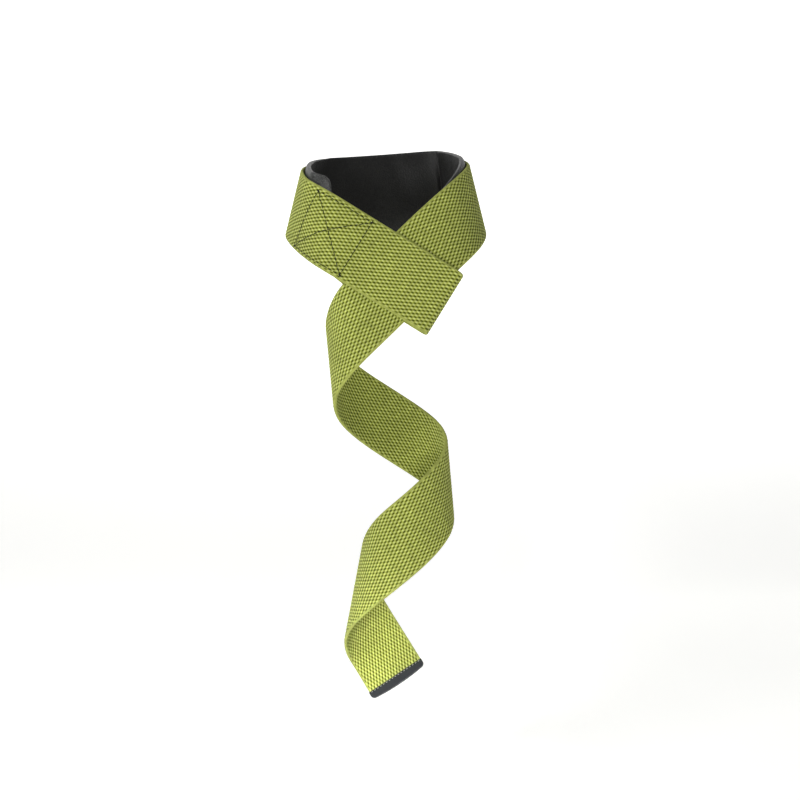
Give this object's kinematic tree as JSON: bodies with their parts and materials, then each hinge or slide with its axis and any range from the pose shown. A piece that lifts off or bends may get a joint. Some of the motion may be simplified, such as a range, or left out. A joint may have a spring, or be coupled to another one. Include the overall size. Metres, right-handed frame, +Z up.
{
  "type": "weightlifting strap",
  "caption": "Padded lasso lifting strap: green woven webbing drawn through its own sewn slot into a wrist loop lined with a black pad, its tail hanging in an open twist to a dark bound tip.",
  "frame": {"origin": "middle of the wrist loop, in the hollow that the wrist fills", "axes": "+Z up along the hanging strap, -Y towards the side with the sewn front flap, +X to the right of the flap as seen from that side"},
  "size_m": [0.1176, 0.0933, 0.3469],
  "materials": {
    "webbing": "coarse woven cotton",
    "pad": "black knit over thin foam",
    "tip": "smooth dark binding tape"
  },
  "bodies": {
    "root": {"strap_webbing": "webbing", "wrist_pad": "pad", "tail_end_tip": "tip"}
  },
  "joints": []
}
